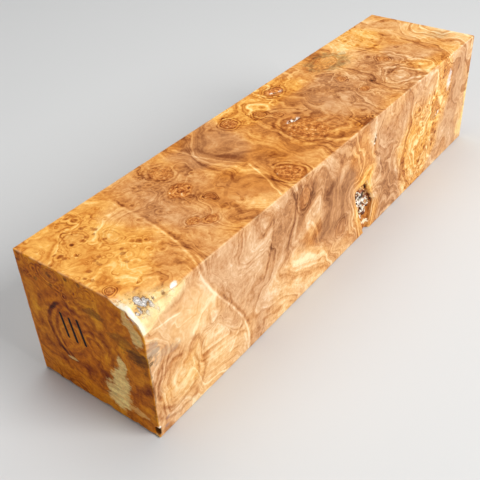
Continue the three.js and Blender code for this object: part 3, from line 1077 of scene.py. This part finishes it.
class Graph:
    """Adds nodes to one tree. Any input takes another node's output, a number or a colour."""

    def __init__(self, tree):
        self.tree = tree

    def add(self, kind, inputs=(), **settings):
        node = self.tree.nodes.new(kind)
        for name, value in settings.items():
            setattr(node, name, value)
        for key, value in dict(inputs).items():
            self.feed(node.inputs[key], value)
        return node

    def feed(self, socket, value):
        if isinstance(value, bpy.types.NodeSocket):
            self.tree.links.new(value, socket)
        else:
            socket.default_value = value

    def use(self, tree, inputs):
        """Places a group and returns its outputs."""
        return self.add("ShaderNodeGroup", inputs, node_tree=tree).outputs

    def math(self, operation, *values, clamp=False):
        inputs = dict(enumerate(values))
        return self.add("ShaderNodeMath", inputs, operation=operation, use_clamp=clamp).outputs[0]

    def vector(self, operation, *values):
        return self.add("ShaderNodeVectorMath", dict(enumerate(values)), operation=operation).outputs[0]

    def scaled(self, vector, share):
        return self.add("ShaderNodeVectorMath", {0: vector, "Scale": share}, operation="SCALE").outputs[0]

    def dot(self, first, second):
        inputs = {0: first, 1: second}
        return self.add("ShaderNodeVectorMath", inputs, operation="DOT_PRODUCT").outputs["Value"]

    def length(self, vector):
        return self.add("ShaderNodeVectorMath", {0: vector}, operation="LENGTH").outputs["Value"]

    def noise(self, place, size, detail, roughness=MIDDLE, w=None):
        """Noise over space, or over space and w; with no place, noise over w alone."""
        inputs = {"Scale": 1 / size, "Detail": detail, "Roughness": roughness}
        if place is not None:
            inputs["Vector"] = place
        if w is not None:
            inputs["W"] = w
        kind = "1D" if place is None else "3D" if w is None else "4D"
        return self.add("ShaderNodeTexNoise", inputs, noise_dimensions=kind).outputs["Fac"]

    def drift(self, place, size, reach):
        """A vector that wanders either way by up to about reach."""
        node = self.add("ShaderNodeTexNoise", {"Vector": place, "Scale": 1 / size, "Detail": 1.0})
        return self.scaled(self.vector("SUBTRACT", node.outputs["Color"], (MIDDLE,) * 3), reach)

    def remap(self, value, low, high, to_low=0.0, to_high=1.0, smooth=True):
        inputs = {"Value": value, "From Min": low, "From Max": high, "To Min": to_low, "To Max": to_high}
        kind = "SMOOTHSTEP" if smooth else "LINEAR"
        return self.add("ShaderNodeMapRange", inputs, interpolation_type=kind).outputs["Result"]

    def centred(self, value, height, onto):
        """Adds a 0 to 1 value, centred on zero and that high, onto another."""
        return self.math("MULTIPLY_ADD", self.math("SUBTRACT", value, MIDDLE), height, onto)

    def mix(self, share, first, second, blend="MIX"):
        inputs = {"Factor": share, MIX_FIRST: first, MIX_SECOND: second}
        return self.add("ShaderNodeMix", inputs, data_type="RGBA", blend_type=blend).outputs[MIX_RESULT]

    def tinted(self, colour, tint):
        return self.mix(1.0, colour, tint, "MULTIPLY")

    def ramp(self, share, stops):
        node = self.add("ShaderNodeValToRGB", {"Fac": share})
        band = node.color_ramp
        while len(band.elements) < len(stops):
            band.elements.new(MIDDLE)
        for element, (place, colour) in zip(band.elements, stops):
            element.position = place
            element.color = screen(*colour)
        return node.outputs["Color"]

    def split(self, vector):
        return self.add("ShaderNodeSeparateXYZ", {0: vector}).outputs

    def raised(self, value, factors):
        """A sum of rising powers of a value, each times its factor."""
        total = 0.0
        for factor in reversed(factors):
            total = self.math("MULTIPLY", self.math("ADD", total, factor), value)
        return total

    def added(self, total, parts):
        """A total with each mask added to it, times its amount."""
        for mask, amount in parts:
            total = self.math("MULTIPLY_ADD", mask, amount, total)
        return total

    def band(self, value, middle, half_width):
        """1 where a value is at the middle, falling smoothly to 0 that far to either side."""
        off = self.math("ABSOLUTE", self.math("SUBTRACT", value, middle))
        return self.remap(off, 0, half_width, 1, 0)

    def attribute(self, name):
        return self.add("ShaderNodeAttribute", attribute_name=name).outputs["Fac"]

    def place(self):
        """The place on the block, in millimetres."""
        return self.scaled(self.add("ShaderNodeTexCoord").outputs["Object"], 1 / MM)

    def bump(self, height, strength, reach):
        inputs = {"Height": height, "Strength": strength, "Distance": reach * MM}
        return self.add("ShaderNodeBump", inputs).outputs["Normal"]


def new_group(name, inputs, outputs):
    """An empty shader group with named sockets: its tree, and its graph with the two ends."""
    tree = bpy.data.node_groups.new(name, "ShaderNodeTree")
    for side, sockets in (("INPUT", inputs), ("OUTPUT", outputs)):
        for socket, kind in sockets.items():
            tree.interface.new_socket(socket, in_out=side, socket_type=f"NodeSocket{kind}")
    graph = Graph(tree)
    return tree, graph, graph.add("NodeGroupInput").outputs, graph.add("NodeGroupOutput").inputs


def new_material(name):
    """An empty material and its graph."""
    material = bpy.data.materials.new(name)
    material.use_nodes = True
    material.node_tree.nodes.clear()
    return material, Graph(material.node_tree)


def close_material(g, surface):
    """Ends a material with one shader that takes these inputs."""
    shader = g.add("ShaderNodeBsdfPrincipled", surface)
    g.add("ShaderNodeOutputMaterial", {"Surface": shader.outputs["BSDF"]})


def floats(*names):
    return {name: "Float" for name in names}


def vectors(*names):
    return {name: "Vector" for name in names}


# Burl wood


def seam_group():
    """The main seam: a pale line with a dark one beside it, and smoky wood past it."""
    tree, g, given, put = new_group("Burl seam", vectors("Place"), floats("Dark", "Pale", "Past"))
    x, y, z = g.split(given["Place"])
    deep = g.math("MAXIMUM", g.math("SUBTRACT", HEIGHT, z), 0.0)
    sheet = g.math("ADD", g.raised(x, SEAM_ACROSS), g.raised(deep, SEAM_DOWN))
    off = g.math("SUBTRACT", g.math("SUBTRACT", y, SEAM_START), sheet)
    strength = g.remap(x, *SEAM_STRENGTH)
    g.feed(put["Dark"], g.math("MULTIPLY", g.band(off, *SEAM_DARK), strength))
    g.feed(put["Pale"], g.math("MULTIPLY", g.band(off, *SEAM_PALE), strength))
    g.feed(put["Past"], g.math("MULTIPLY", g.remap(off, *SEAM_PAST), g.remap(off, *SEAM_SHADE, 1, 0)))
    return tree


def vein_group():
    """One vein: a thin bowed line, dark or pale, from one point to another. Adds to running totals."""
    running = floats("Dark", "Pale")
    own = vectors("Place", "Start", "Along", "Side") | floats("Bow", "Half width", "Own dark", "Own pale")
    tree, g, given, put = new_group("Burl vein", own | running, running)
    step = g.vector("SUBTRACT", given["Place"], given["Start"])
    share = g.dot(step, given["Along"])
    bow = g.math("MULTIPLY", g.math("MULTIPLY", share, g.math("SUBTRACT", 1, share)), given["Bow"])
    off = g.math("ABSOLUTE", g.math("SUBTRACT", g.dot(step, given["Side"]), bow))
    reach = g.remap(g.math("ABSOLUTE", g.math("SUBTRACT", share, MIDDLE)), *VEIN_ENDS, 1, 0)
    off = g.math("DIVIDE", off, given["Half width"])
    line = g.math("MULTIPLY", reach, g.remap(off, VEIN_SOFT, 1, 1, 0))
    for total in running:
        own_share = g.math("MULTIPLY", line, given[f"Own {total.lower()}"])
        g.feed(put[total], g.math("MAXIMUM", given[total], own_share))
    return tree


def layers_group():
    """What follows the growth layers: broad noises, rings with a sharp outer side, and pale lines."""
    given_sockets = vectors("Place") | floats("Growth")
    puts = floats(*LAYERS, "Ring", "Pale")
    tree, g, given, put = new_group("Burl growth layers", given_sockets, puts)

    def at_rate(rate, shift=0):
        return g.math("MULTIPLY_ADD", given["Growth"], rate, shift)

    def read(layer):
        place = None if layer.size is None else given["Place"]
        w = None if layer.rate is None else at_rate(layer.rate, layer.shift)
        return g.noise(place, layer.size or 1, layer.detail, layer.roughness, w)

    fade = g.noise(given["Place"], *LAYER_FADE)
    part = g.math("FRACT", at_rate(RING_RATE))
    late = g.math("MULTIPLY", g.remap(part, *RING_LATE), g.remap(part, *RING_STOP))
    ring = g.math("MULTIPLY", late, g.remap(read(RING_LAYER), *RING_LIMITS))
    pale = g.band(read(PALE_LAYER), MIDDLE, PALE_HALF_WIDTH)
    for name, layer in LAYERS.items():
        g.feed(put[name], read(layer))
    g.feed(put["Ring"], g.math("MULTIPLY", ring, g.remap(fade, *RING_FADE)))
    g.feed(put["Pale"], g.math("MULTIPLY", pale, g.remap(fade, *PALE_FADE)))
    return tree


def pins_group():
    """Pin knots: dark dots of several sizes in rings, in loose crowds. They lift the growth layers."""
    given_sockets = vectors("Place") | floats("Pins", "Size")
    tree, g, given, put = new_group("Burl pin knots", given_sockets, floats("Dot", "Rise"))
    scale = g.math("DIVIDE", 1, given["Size"])
    cells = g.add("ShaderNodeTexVoronoi", {"Vector": given["Place"], "Scale": scale, "Randomness": 1.0})
    girth = g.math("ADD", g.split(cells.outputs["Color"])[0], PIN_GIRTH)
    crowd = g.remap(g.noise(given["Place"], *PIN_CROWDS), *PIN_CROWD_LIMITS)
    pins = g.math("MULTIPLY", given["Pins"], crowd, clamp=True)
    away = g.math("DIVIDE", cells.outputs["Distance"], girth)
    ring = g.math("MULTIPLY", g.band(away, *PIN_RING), PIN_RING_SHARE)
    dot = g.math("MAXIMUM", g.remap(away, *PIN_DOT), ring)
    g.feed(put["Dot"], g.math("MULTIPLY", dot, pins))
    g.feed(put["Rise"], g.math("MULTIPLY", g.remap(away, *PIN_SWELL), pins))
    return tree


def stroke_group():
    """One felt-tip stroke on the near end. Adds to a running total."""
    given_sockets = vectors("Place", "Start", "Run") | floats("Half width", "Ink")
    tree, g, given, put = new_group("Pen stroke", given_sockets, floats("Ink"))
    step = g.vector("SUBTRACT", given["Place"], given["Start"])
    run = given["Run"]
    share = g.math("DIVIDE", g.dot(step, run), g.dot(run, run), clamp=True)
    off = g.length(g.vector("SUBTRACT", step, g.scaled(run, share)))
    line = g.remap(g.math("DIVIDE", off, given["Half width"]), *INK_BORDER)
    g.feed(put["Ink"], g.math("MAXIMUM", given["Ink"], line))
    return tree


def chain(g, tree, items, totals):
    """Places a group once for each item, handing the running totals on from one to the next."""
    for inputs in items:
        outputs = g.use(tree, inputs | totals)
        totals = {key: outputs[key] for key in totals}
    return totals


def vein_inputs(vein, place):
    start, end = Vector(vein.start), Vector(vein.end)
    run = end - start
    face = Vector(FACES[vein.face])
    return {
        "Place": place,
        "Start": start,
        "Along": run / run.length_squared,
        "Side": face.cross(run).normalized(),
        "Bow": BOW_PEAK * vein.bow,
        "Half width": vein.half_width,
        "Own dark": vein.dark,
        "Own pale": vein.pale,
    }


Fields = namedtuple("Fields", "place swayed shaken bent fray gap streaks grit")


def read_fields(g):
    """The place on the block, the same bent and shaken, and noises that several things share."""
    place = g.place()
    quick = g.drift(place, *QUICK)
    shaken = g.vector("ADD", g.vector("ADD", place, quick), g.drift(place, *TREMOR))
    slow = g.drift(place, *SLOW)
    return Fields(
        place,
        g.vector("ADD", place, g.scaled(quick, SEAM_SWAY)),
        shaken,
        g.vector("ADD", shaken, slow),
        g.noise(place, *FRAY),
        g.remap(g.noise(place, *GAPS), *GAP_LIMITS),
        g.noise(g.vector("MULTIPLY", place, STREAK_STRETCH), *STREAKS),
        g.noise(place, *GRIT),
    )


def eye_marks(g, fields):
    """The nearest eye's inside with its frayed border, its core, the broken rings round it, its flecks."""
    away = g.centred(fields.fray, EYE_FRAY, g.attribute("eye"))
    inside = g.remap(away, *EYE_BORDER)
    turn = g.math("FRACT", g.math("MULTIPLY", away, EYE_RINGS))
    rings = g.math("MULTIPLY", g.band(turn, *EYE_RING), g.band(away, *EYE_RING_REACH))
    rings = g.math("MULTIPLY", g.math("MULTIPLY", rings, fields.gap), g.attribute("rim"))
    flecks = g.noise(fields.shaken, *FLECKS, w=g.math("MULTIPLY", away, FLECK_TURNS))
    return inside, g.math("MULTIPLY", inside, g.attribute("core")), rings, flecks


def growth_layers(g, fields, pins):
    """The wood's growth layers as one rising value, swollen by the eyes, the pin knots and the pocket."""
    growth = g.noise(fields.bent, *GROWTH)
    growth = g.math("MULTIPLY_ADD", growth, GROWTH_HEIGHT, g.attribute("rise"))
    growth = g.math("ADD", growth, g.dot(fields.bent, LEAN))
    growth = g.added(growth, ((pins["Rise"], PIN_RISE), (g.attribute("halo"), HALO_RISE)))
    level = g.math("ADD", g.dot(fields.shaken, LEVEL_LEAN), LEVEL_START)
    return g.math("MULTIPLY_ADD", g.attribute("level"), g.math("SUBTRACT", level, growth), growth)


Figure = namedtuple("Figure", "pins eye core rings flecks seam lines layers halo shells")


def read_figure(g, fields):
    """Everything that is drawn on the sawn wood."""
    pins = g.use(pins_group(), {"Place": fields.shaken, "Pins": g.attribute("pins"), "Size": PIN_SIZE})
    growth = growth_layers(g, fields, pins)
    eye, core, rings, flecks = eye_marks(g, fields)
    seam = g.use(seam_group(), {"Place": fields.swayed})
    veins = [vein_inputs(vein, fields.shaken) for vein in VEINS]
    lines = chain(g, vein_group(), veins, {"Dark": seam["Dark"], "Pale": seam["Pale"]})
    layers = g.use(layers_group(), {"Place": fields.place, "Growth": growth})
    halo = g.attribute("halo")
    shells = g.centred(fields.fray, SHELL_FRAY, g.math("MULTIPLY", halo, HALO_SHELLS))
    shells = g.math("MULTIPLY", g.band(g.math("FRACT", shells), *SHELL_BAND), halo)
    return Figure(pins, eye, core, rings, flecks, seam, lines, layers, halo, shells)


def wood_tone(g, figure):
    """How light the wood is: its zone, then noise along the growth layers, then lines and marks."""
    layers = figure.layers
    tone = g.math("MULTIPLY_ADD", figure.eye, g.attribute("eye_tone"), g.attribute("tone"))
    long_grain = g.remap(g.attribute("end_grain"), 0, 1, 1, END_FIGURE)
    bands = g.centred(layers["Bands"], long_grain, MIDDLE)
    lively = g.attribute("lively")
    tone = g.centred(layers["Smoke"], SMOKE_TONE, tone)
    for value, amount in (
        (layers["Broad"], BROAD_TONE),
        (bands, BAND_TONE),
        (layers["Fibre"], FIBRE_TONE),
        (layers["Grain"], GRAIN_TONE),
    ):
        tone = g.centred(value, g.math("MULTIPLY", lively, amount), tone)
    calm = g.math("MULTIPLY", g.math("SUBTRACT", 1, figure.core), long_grain)
    ring_share = g.math("MULTIPLY_ADD", g.attribute("level"), LEVEL_RINGS, calm)
    marks = (
        (g.math("MULTIPLY", layers["Ring"], ring_share), RING_TONE),
        (g.math("MULTIPLY", layers["Pale"], calm), PALE_LINE_TONE),
        (figure.rings, RIM_TONE),
        (figure.lines["Dark"], DARK_VEIN_TONE),
        (figure.lines["Pale"], PALE_VEIN_TONE),
        (figure.seam["Past"], PAST_SEAM_TONE),
        (figure.pins["Dot"], PIN_TONE),
        (figure.halo, HALO_TONE),
        (figure.shells, SHELL_TONE),
    )
    return g.added(tone, marks)


def wood_warmth(g, fields, figure):
    """How far the wood is from tan towards honey."""
    warmth = g.math("MULTIPLY_ADD", figure.eye, g.attribute("eye_warmth"), g.attribute("warmth"))
    warmth = g.centred(g.noise(fields.bent, *WARMTH_DRIFT), WARMTH_REACH, warmth)
    marks = (
        (figure.seam["Past"], PAST_SEAM_WARMTH),
        (figure.pins["Rise"], PIN_WARMTH),
        (figure.halo, HALO_WARMTH),
    )
    return g.added(warmth, marks)


def figured_wood(g, fields):
    """Colour of the sawn wood, the height of its relief, and the cores of the eyes."""
    figure = read_figure(g, fields)
    tone = wood_tone(g, figure)
    warmth = wood_warmth(g, fields, figure)
    colour = g.mix(warmth, g.ramp(tone, TAN), g.ramp(tone, HONEY))
    # Eye flecks, the lightest of them painted glints
    ember_and_glint = g.ramp(g.remap(figure.flecks, *FLECK_LIMITS, smooth=False), EMBER_AND_GLINT)
    colour = g.mix(figure.core, colour, ember_and_glint)
    colour = g.mix(figure.rings, colour, g.tinted(colour, RING_TINT))
    relief = (
        (figure.layers["Fibre"], FIBRE_RELIEF),
        (figure.layers["Grain"], GRAIN_RELIEF),
        (figure.pins["Dot"], PIN_RELIEF),
    )
    height = g.added(g.math("MULTIPLY", figure.core, figure.flecks), relief)
    return colour, height, figure.core


def stained_and_painted_light(g, fields, colour):
    """A colour with the stains over it, some of them painted highlights and painted shade; their borders
    run out along the fibres.
    """
    away = g.centred(fields.grit, STAIN_FRAY, g.attribute("stain"))
    away = g.centred(fields.streaks, STAIN_FRAY, away)
    share = g.math("MULTIPLY", g.remap(away, *STAIN_EDGE), g.attribute("stain_and_painted_light_share"))
    share = g.math("MULTIPLY", share, g.remap(fields.streaks, *STAIN_STREAKS))
    own = g.add("ShaderNodeAttribute", attribute_name="stain_and_painted_light_colour").outputs["Color"]
    return g.mix(share, colour, g.tinted(own, g.remap(fields.grit, *STAIN_GRIT)))


def wane_wood(g, fields):
    """The bare wane: cream wood with weathered patches in brown borders, and specks."""
    colour = g.ramp(g.noise(fields.place, *WANE_GRAIN), WANE_WOOD)
    away = g.centred(fields.grit, WEATHER_FRAY, g.attribute("weathered"))
    colour = g.mix(g.remap(away, *WEATHER_BORDER), colour, g.ramp(away, WEATHERED))
    specks = g.remap(fields.grit, *WANE_SPECKS)
    return g.mix(specks, colour, screen(*WEATHERED_RIM))


def torn_corner(g, fields, colour):
    """A colour with the wane's roll over it, a painted shadow line in the furrow beside the roll, the torn
    fibres and the chip darkened with painted shadow.
    """
    roll = g.math("MULTIPLY", g.attribute("roll"), g.remap(fields.fray, *ROLL_SHADE))
    colour = g.mix(roll, colour, screen(*ROLL))
    # Painted shadow line in the furrow beside the roll
    furrow_shadow = g.math("MULTIPLY", g.band(g.attribute("roll"), *FURROW_SHADOW_BAND), g.attribute("wane"))
    broken = g.math("MULTIPLY", fields.gap, FURROW_SHADOW_SHARE)
    colour = g.mix(g.math("MULTIPLY", furrow_shadow, broken), colour, screen(*FURROW_SHADOW))
    torn = g.math("MULTIPLY", g.attribute("torn"), g.remap(fields.grit, *TORN_SHADE))
    colour = g.mix(torn, colour, screen(*WHITE_FIBRE))
    # Painted shadow in the chip
    return g.mix(g.remap(g.attribute("chip"), *CHIP_SHADE), colour, screen(*CHIP_SHADOW))


def pocket_bark(g, fields):
    """The pocket: bark and white rot in slanting flakes above round a hollow that is partly dark bark and
    partly painted shade, smooth brown wood towards the sill.
    """
    x, _, height = g.split(fields.shaken)
    along = g.math("MULTIPLY", g.dot(fields.shaken, FLAKE_RUN), FLAKE_STRETCH)
    across = g.dot(fields.shaken, FLAKE_SIDE)
    flakes = g.add("ShaderNodeCombineXYZ", {0: along, 1: across, 2: x}).outputs[0]
    sill = g.ramp(g.noise(flakes, *SILL_GRAIN), SILL)
    rot = g.ramp(g.noise(flakes, *ROT_GRAIN), ROT)
    # Hollow darkened partly as bark, partly with painted shade
    hollow = g.centred(fields.grit, HOLLOW_FRAY, g.attribute("hollow"))
    rot = g.mix(g.remap(hollow, *HOLLOW_START), rot, g.ramp(hollow, HOLLOW_BARK_AND_SHADE))
    crescent = g.math("MULTIPLY", g.attribute("rot"), g.remap(fields.grit, *CRESCENT_GRIT))
    rot = g.mix(crescent, rot, screen(*WHITE_AND_GLINT))
    level = g.math("MULTIPLY_ADD", across, SILL_BAND_SLOPE, height)
    level = g.centred(fields.grit, SILL_BAND_FRAY, level)
    band = g.remap(g.band(level, SILL_BAND_HEIGHT, SILL_BAND_HALF), *SILL_BAND_SHADE)
    sill = g.mix(band, sill, screen(*SILL_BAND))
    above = g.remap(g.centred(fields.fray, SILL_FRAY, height), *POCKET_SILL)
    return g.mix(above, sill, rot)


def hollowed(g, fields, colour):
    """A colour with a painted highlight on the pocket's lip, the bark in the pocket, and the pits with
    their painted glints and painted shade.
    """
    sunk = g.attribute("sunk")
    # Painted highlight along the pocket's lip
    lip_highlight = g.math("MULTIPLY", g.band(sunk, *POCKET_LIP_HIGHLIGHT), fields.gap)
    colour = g.mix(lip_highlight, colour, screen(*EDGE_WEAR_AND_HIGHLIGHT))
    colour = g.mix(g.remap(sunk, *POCKET_START), colour, pocket_bark(g, fields))
    # Pits with painted glints and painted shade
    return g.mix(g.remap(g.attribute("pit"), *PIT_SHADE), colour, g.ramp(fields.grit, PIT_GLINT_AND_SHADE))


def ink_share(g, fields):
    """Where the felt-tip strokes are."""
    strokes = []
    for start, run in STROKES:
        strokes.append({"Place": fields.place, "Start": start, "Run": run, "Half width": INK_HALF_WIDTH})
    return chain(g, stroke_group(), strokes, {"Ink": 0.0})["Ink"]


def burl_wood():
    """The wood of the block: its figure with ends darkened partly by painted shade, then edges paled partly
    by wear and partly by a painted highlight, the wane, stains (some of them painted light), the pocket and
    ink over it.
    """
    material, g = new_material("burl_wood")
    fields = read_fields(g)
    colour, height, core = figured_wood(g, fields)
    # Ends darkened partly as end grain, partly with painted shade
    colour = g.mix(g.attribute("end_grain"), colour, g.tinted(colour, END_GRAIN_AND_SHADE_TINT))
    # Edges paled partly by wear and partly by a painted highlight
    patches = g.remap(g.noise(fields.place, *EDGE_PATCHES), *EDGE_SHADE)
    colour = g.mix(g.math("MULTIPLY", g.attribute("edge"), patches), colour, screen(*EDGE_WEAR_AND_HIGHLIGHT))
    colour = g.mix(g.attribute("wane"), colour, wane_wood(g, fields))
    colour = stained_and_painted_light(g, fields, colour)
    colour = torn_corner(g, fields, colour)
    colour = hollowed(g, fields, colour)
    colour = g.mix(ink_share(g, fields), colour, screen(*INK))
    roughness = g.math("MULTIPLY_ADD", core, CORE_ROUGHNESS, WOOD_ROUGHNESS)
    surface = {
        "Base Color": colour,
        "Roughness": g.centred(fields.grit, GRIT_ROUGHNESS, roughness),
        "Specular IOR Level": WOOD_SPECULAR,
        "Normal": g.bump(height, *WOOD_BUMP),
    }
    close_material(g, surface)
    return material


# Crumbs of bark


def scatter(g, seed, kind, low, high):
    """A value for each crumb by chance, between low and high, always the same for the same seed."""
    node = g.add("FunctionNodeRandomValue", {"Seed": seed}, data_type=kind)
    own = [socket for socket in node.inputs if socket.enabled]
    for socket, value in zip(own, (low, high)):
        g.feed(socket, value)
    return next(socket for socket in node.outputs if socket.enabled)


def crumb_tree():
    """Scatters crumbs over a mesh where its crumbs attribute says, each turned and sized on its own."""
    tree = bpy.data.node_groups.new("Bark crumbs", "GeometryNodeTree")
    for name, kind in CRUMB_SOCKETS.items():
        tree.interface.new_socket(name, in_out="INPUT", socket_type=f"NodeSocket{kind}")
    tree.interface.new_socket("Mesh", in_out="OUTPUT", socket_type="NodeSocketGeometry")
    g = Graph(tree)
    given = g.add("NodeGroupInput").outputs
    named = g.add("GeometryNodeInputNamedAttribute", {"Name": "crumbs"}, data_type="FLOAT")
    density = g.math("MULTIPLY", named.outputs["Attribute"], given["Density"])
    seed = given["Seed"]
    spread = {"Mesh": given["Mesh"], "Density": density, "Seed": seed}
    points = g.add("GeometryNodeDistributePointsOnFaces", spread).outputs["Points"]
    crumb = g.add("GeometryNodeMeshIcoSphere", {"Radius": 1.0, "Subdivisions": 1}).outputs["Mesh"]
    laid = g.add(
        "GeometryNodeInstanceOnPoints",
        {
            "Points": points,
            "Instance": crumb,
            "Rotation": scatter(g, seed, "FLOAT_VECTOR", (0,) * 3, (math.tau,) * 3),
            "Scale": scatter(g, seed, "FLOAT_VECTOR", given["Least size"], given["Most size"]),
        },
    ).outputs["Instances"]
    shaded = g.add(
        "GeometryNodeStoreNamedAttribute",
        {"Geometry": laid, "Name": "crumb_shade", "Value": scatter(g, seed, "FLOAT", 0, 1)},
        data_type="FLOAT",
        domain="INSTANCE",
    ).outputs["Geometry"]
    real = g.add("GeometryNodeRealizeInstances", {"Geometry": shaded}).outputs["Geometry"]
    done = g.add("GeometryNodeSetMaterial", {"Geometry": real, "Material": given["Material"]})
    g.add("NodeGroupOutput", {"Mesh": done.outputs["Geometry"]})
    return tree


def bark_crumb():
    """Crumbs from dark bark to white rot, each with its own shade and a mottled face."""
    material, g = new_material("bark_crumb")
    grit = g.noise(g.place(), *CRUMB_GRIT)
    shade = g.centred(grit, CRUMB_MOTTLE, g.attribute("crumb_shade"))
    surface = {
        "Base Color": g.ramp(shade, CRUMB_COLOURS),
        "Roughness": g.centred(grit, *CRUMB_ROUGHNESS),
        "Normal": g.bump(grit, *CRUMB_BUMP),
    }
    close_material(g, surface)
    return material


def bark_crumbs(block):
    """The crumbs as one plain mesh, scattered over the block."""
    tree = crumb_tree()
    host = bpy.data.objects.new("crumb_host", block)
    bpy.context.collection.objects.link(host)
    modifier = host.modifiers.new("crumbs", "NODES")
    modifier.node_group = tree
    values = {
        "Density": CRUMB_DENSITY / MM**2,
        "Least size": [size * MM for size in CRUMB_LEAST],
        "Most size": [size * MM for size in CRUMB_MOST],
        "Seed": CRUMB_SEED,
        "Material": bark_crumb(),
    }
    for socket in tree.interface.items_tree:
        if socket.name in values:
            modifier[socket.identifier] = values[socket.name]
    seen = host.evaluated_get(bpy.context.evaluated_depsgraph_get())
    mesh = bpy.data.meshes.new_from_object(seen)
    bpy.data.objects.remove(host)
    mesh.name = "bark_crumbs"
    return mesh


# Stage


def place_camera():
    """Stands the camera where the fitted view has it."""
    azimuth, elevation, roll = (math.radians(a) for a in (CAMERA_AZIMUTH, CAMERA_ELEVATION, CAMERA_ROLL))
    back = Vector(
        (
            math.sin(azimuth) * math.cos(elevation),
            -math.cos(azimuth) * math.cos(elevation),
            math.sin(elevation),
        )
    )
    level = Vector((math.cos(azimuth), math.sin(azimuth), 0))
    upright = back.cross(level)
    right = math.cos(roll) * level + math.sin(roll) * upright
    axes = Matrix((right, back.cross(right), back)).transposed()
    data = bpy.data.cameras.new("camera")
    data.lens = CAMERA_LENS
    data.sensor_width = CAMERA_SENSOR
    data.clip_start = CAMERA_NEAR
    camera = bpy.data.objects.new("camera", data)
    camera.matrix_world = Matrix.Translation(Vector(CAMERA_PLACE) * MM) @ axes.to_4x4()
    bpy.context.collection.objects.link(camera)
    bpy.context.scene.camera = camera


def lay_floor():
    """A plain pale floor under the block."""
    half = FLOOR_HALF
    corners = [(x, y, FLOOR_LEVEL) for x, y in ((-half, -half), (half, -half), (half, half), (-half, half))]
    mesh = bpy.data.meshes.new("floor")
    mesh.from_pydata(corners, [], [(0, 1, 2, 3)])
    floor = bpy.data.objects.new("floor", mesh)
    pale = bpy.data.materials.new("pale_floor")
    pale.use_nodes = True
    shader = pale.node_tree.nodes["Principled BSDF"]
    shader.inputs["Base Color"].default_value = FLOOR_COLOUR
    shader.inputs["Roughness"].default_value = FLOOR_ROUGHNESS
    mesh.materials.append(pale)
    bpy.context.collection.objects.link(floor)


def hang_light(light):
    """A soft square light that faces the block."""
    data = bpy.data.lights.new(light.name, "AREA")
    data.size = light.size
    data.energy = light.power
    lamp = bpy.data.objects.new(light.name, data)
    aim = Vector((0, 0, HEIGHT / 2 * MM)) - Vector(light.place)
    turn = aim.to_track_quat("-Z", "Y").to_matrix().to_4x4()
    lamp.matrix_world = Matrix.Translation(light.place) @ turn
    bpy.context.collection.objects.link(lamp)


def light_stage():
    """Plain soft light, strongest from the right and behind."""
    for light in LIGHTS:
        hang_light(light)
    world = bpy.data.worlds.new("studio")
    world.use_nodes = True
    sky = world.node_tree.nodes["Background"]
    sky.inputs["Color"].default_value = SKY_COLOUR
    sky.inputs["Strength"].default_value = SKY_STRENGTH
    bpy.context.scene.world = world
    bpy.context.scene.view_settings.view_transform = "Standard"


def add_piece(mesh):
    """Puts a mesh in the scene as a piece that goes with the block."""
    piece = bpy.data.objects.new(mesh.name, mesh)
    bpy.context.collection.objects.link(piece)
    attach(piece, "root")
    return piece


def main():
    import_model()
    place_camera()
    lay_floor()
    light_stage()
    block = block_mesh()
    crumbs = bark_crumbs(block)
    block.materials.append(burl_wood())
    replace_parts(add_piece(block), "burl_blank")
    add_piece(crumbs)


main()
